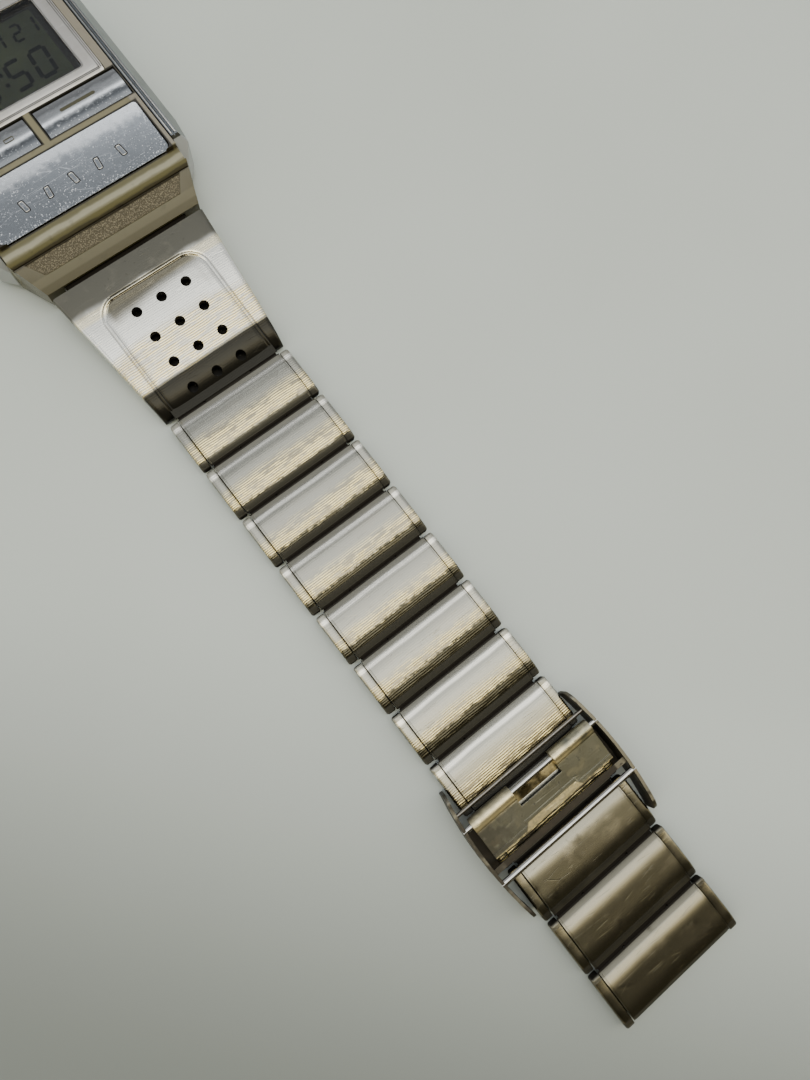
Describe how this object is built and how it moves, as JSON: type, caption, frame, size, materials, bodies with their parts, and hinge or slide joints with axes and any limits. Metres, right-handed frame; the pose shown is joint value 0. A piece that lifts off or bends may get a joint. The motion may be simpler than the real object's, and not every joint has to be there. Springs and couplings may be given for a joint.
{
  "type": "digital watch",
  "caption": "Digital watch with a rectangular resin case, steel side rails, bar push buttons and a folded-link steel bracelet with a sliding clasp, spread flat.",
  "frame": {"origin": "centre of the case back's flat face, midway between the two bars", "axes": "+X to 3 o'clock, +Y to 12 o'clock along the open bracelet, +Z out of the face"},
  "size_m": [0.0344, 0.2392, 0.0082],
  "materials": {
    "case_resin": "glossy taupe resin with a satin metallised hood",
    "satin_steel": "satin, brushed across the bracelet",
    "bright_steel": "polished and worn",
    "frame_metal": "fine satin",
    "clear_crystal": "clear, lightly scratched",
    "display_glass": "grey-green display behind glass",
    "light_plastic": "clear",
    "connector_rubber": "matt",
    "works_plastic": "matt",
    "board_green": "satin",
    "chip_black": "matt",
    "works_steel": "plain",
    "works_brass": "plain"
  },
  "bodies": {
    "case": {"case_body": "case_resin", "case_back": "satin_steel", "back_gasket": "connector_rubber", "back_screws": "works_steel", "display_frame": "frame_metal", "crystal": "clear_crystal", "lcd_panel": "display_glass", "light_guide": "light_plastic", "connector_strips": "connector_rubber", "module_housing": "works_plastic", "circuit_board": "board_green", "ic_chip": "chip_black", "quartz_crystal": "works_steel", "contact_leaves": "works_brass", "coin_cell": "works_steel", "battery_clip": "works_steel", "buzzer_disc": "works_brass", "side_rail_left": "bright_steel", "side_rail_right": "bright_steel", "spring_bar_six": "bright_steel", "spring_bar_twelve": "bright_steel", "button_spring_left": "works_steel", "button_spring_right": "works_steel", "light_spring": "works_steel"},
    "left_button": {"button_left": "bright_steel"},
    "right_button": {"button_right": "bright_steel"},
    "light_plate": {"light_button": "bright_steel"},
    "end_six": {"end_piece_six": "satin_steel"},
    "end_twelve": {"end_piece_twelve": "satin_steel"},
    "carriage": {"clasp_frame": "satin_steel", "front_bar": "bright_steel", "flap_pin": "bright_steel", "catch_rod": "bright_steel"},
    "flap": {"clasp_flap": "satin_steel"},
    "hook": {"hook_plate": "satin_steel", "cover_pin": "bright_steel"},
    "cover": {"clasp_cover": "satin_steel"},
    "six_01": {"link_six_01": "satin_steel"},
    "six_02": {"link_six_02": "satin_steel"},
    "six_03": {"link_six_03": "satin_steel"},
    "six_04": {"link_six_04": "satin_steel"},
    "six_05": {"link_six_05": "satin_steel"},
    "six_06": {"link_six_06": "satin_steel"},
    "six_07": {"link_six_07": "satin_steel"},
    "six_08": {"link_six_08": "satin_steel"},
    "six_09": {"link_six_09": "satin_steel"},
    "six_10": {"link_six_10": "satin_steel"},
    "six_11": {"link_six_11": "satin_steel"},
    "six_12": {"link_six_12": "satin_steel"},
    "twelve_01": {"link_twelve_01": "satin_steel"},
    "twelve_02": {"link_twelve_02": "satin_steel"},
    "twelve_03": {"link_twelve_03": "satin_steel"}
  },
  "joints": [
    {"name": "button_left_press", "type": "slide", "parent": "case", "child": "left_button", "axis": [0, 0, -1], "range_m": [0, 0.0005], "stiffness_N_per_m": 300, "deforming": ["button_spring_left"]},
    {"name": "button_right_press", "type": "slide", "parent": "case", "child": "right_button", "axis": [0, 0, -1], "range_m": [0, 0.0005], "stiffness_N_per_m": 300, "deforming": ["button_spring_right"]},
    {"name": "light_press", "type": "slide", "parent": "case", "child": "light_plate", "axis": [0, 0, -1], "range_m": [0, 0.0005], "stiffness_N_per_m": 300, "deforming": ["light_spring"]},
    {"name": "end_six_hinge", "type": "hinge", "parent": "case", "child": "end_six", "pos_m": [0, -0.0236, 0.00285], "axis": [1, 0, 0], "range_deg": [-8, 50]},
    {"name": "six_01_hinge", "type": "hinge", "parent": "end_six", "child": "six_01", "pos_m": [0, -0.048, 0.00135], "axis": [1, 0, 0], "range_deg": [-3, 20]},
    {"name": "six_02_hinge", "type": "hinge", "parent": "six_01", "child": "six_02", "pos_m": [0, -0.05635, 0.00135], "axis": [1, 0, 0], "range_deg": [-3, 20]},
    {"name": "six_03_hinge", "type": "hinge", "parent": "six_02", "child": "six_03", "pos_m": [0, -0.0647, 0.00135], "axis": [1, 0, 0], "range_deg": [-3, 20]},
    {"name": "six_04_hinge", "type": "hinge", "parent": "six_03", "child": "six_04", "pos_m": [0, -0.07305, 0.00135], "axis": [1, 0, 0], "range_deg": [-3, 20]},
    {"name": "six_05_hinge", "type": "hinge", "parent": "six_04", "child": "six_05", "pos_m": [0, -0.0814, 0.00135], "axis": [1, 0, 0], "range_deg": [-3, 20]},
    {"name": "six_06_hinge", "type": "hinge", "parent": "six_05", "child": "six_06", "pos_m": [0, -0.08975, 0.00135], "axis": [1, 0, 0], "range_deg": [-3, 20]},
    {"name": "six_07_hinge", "type": "hinge", "parent": "six_06", "child": "six_07", "pos_m": [0, -0.0981, 0.00135], "axis": [1, 0, 0], "range_deg": [-3, 20]},
    {"name": "six_08_hinge", "type": "hinge", "parent": "six_07", "child": "six_08", "pos_m": [0, -0.10645, 0.00135], "axis": [1, 0, 0], "range_deg": [-3, 20]},
    {"name": "six_09_hinge", "type": "hinge", "parent": "six_08", "child": "six_09", "pos_m": [0, -0.1148, 0.00135], "axis": [1, 0, 0], "range_deg": [-3, 20]},
    {"name": "six_10_hinge", "type": "hinge", "parent": "six_09", "child": "six_10", "pos_m": [0, -0.12315, 0.00135], "axis": [1, 0, 0], "range_deg": [-3, 20]},
    {"name": "six_11_hinge", "type": "hinge", "parent": "six_10", "child": "six_11", "pos_m": [0, -0.1315, 0.00135], "axis": [1, 0, 0], "range_deg": [-3, 20]},
    {"name": "six_12_hinge", "type": "hinge", "parent": "six_11", "child": "six_12", "pos_m": [0, -0.13985, 0.00135], "axis": [1, 0, 0], "range_deg": [-3, 20]},
    {"name": "end_twelve_hinge", "type": "hinge", "parent": "case", "child": "end_twelve", "pos_m": [0, 0.0236, 0.00285], "axis": [1, 0, 0], "range_deg": [-50, 8]},
    {"name": "twelve_01_hinge", "type": "hinge", "parent": "end_twelve", "child": "twelve_01", "pos_m": [0, 0.048, 0.00135], "axis": [1, 0, 0], "range_deg": [-20, 3]},
    {"name": "twelve_02_hinge", "type": "hinge", "parent": "twelve_01", "child": "twelve_02", "pos_m": [0, 0.05635, 0.00135], "axis": [1, 0, 0], "range_deg": [-20, 3]},
    {"name": "twelve_03_hinge", "type": "hinge", "parent": "twelve_02", "child": "twelve_03", "pos_m": [0, 0.0647, 0.00135], "axis": [1, 0, 0], "range_deg": [-20, 3]},
    {"name": "hook_hinge", "type": "hinge", "parent": "twelve_03", "child": "hook", "pos_m": [0, 0.07305, 0.00135], "axis": [1, 0, 0], "range_deg": [-20, 3]},
    {"name": "cover_hinge", "type": "hinge", "parent": "hook", "child": "cover", "pos_m": [0, 0.07545, 0.0026], "axis": [1, 0, 0], "range_deg": [0, 100]},
    {"name": "clasp_slide", "type": "slide", "parent": "six_09", "child": "carriage", "axis": [0, 1, 0], "range_m": [-0.0083, 0]},
    {"name": "flap_hinge", "type": "hinge", "parent": "carriage", "child": "flap", "pos_m": [0, -0.11542, 0.00345], "axis": [-1, 0, 0], "range_deg": [0, 95]}
  ]
}
